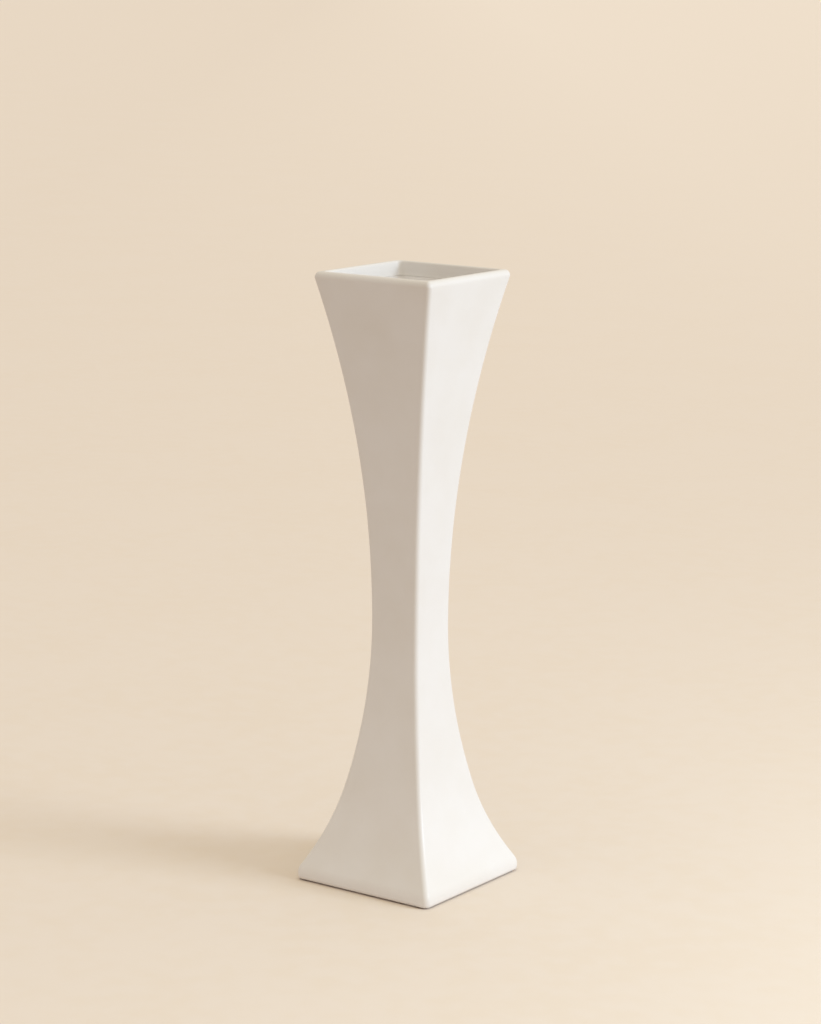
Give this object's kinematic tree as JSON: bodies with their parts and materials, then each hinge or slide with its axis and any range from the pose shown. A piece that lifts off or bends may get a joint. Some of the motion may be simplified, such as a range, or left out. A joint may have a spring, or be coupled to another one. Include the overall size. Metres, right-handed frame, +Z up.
{
  "type": "square trumpet vase",
  "caption": "Tall square white glazed ceramic vase with hollow-curved faces, drawn in to a narrow waist and flared to an open mouth and a wide foot, for holding cut stems upright.",
  "frame": {"origin": "on the table that the pads stand on, under the middle of the foot", "axes": "+Z up along the vase's axis; the four faces look along +X, -X, +Y and -Y"},
  "size_m": [0.0794, 0.0794, 0.3],
  "materials": {
    "biscuit": "matte",
    "outer_glaze": "satin",
    "liner_glaze": "gloss",
    "felt": "matte"
  },
  "bodies": {
    "root": {"clay_body": "biscuit", "outer_glaze": "outer_glaze", "liner_glaze": "liner_glaze", "foot_pad_front_left": "felt", "foot_pad_front_right": "felt", "foot_pad_back_left": "felt", "foot_pad_back_right": "felt"}
  },
  "joints": []
}
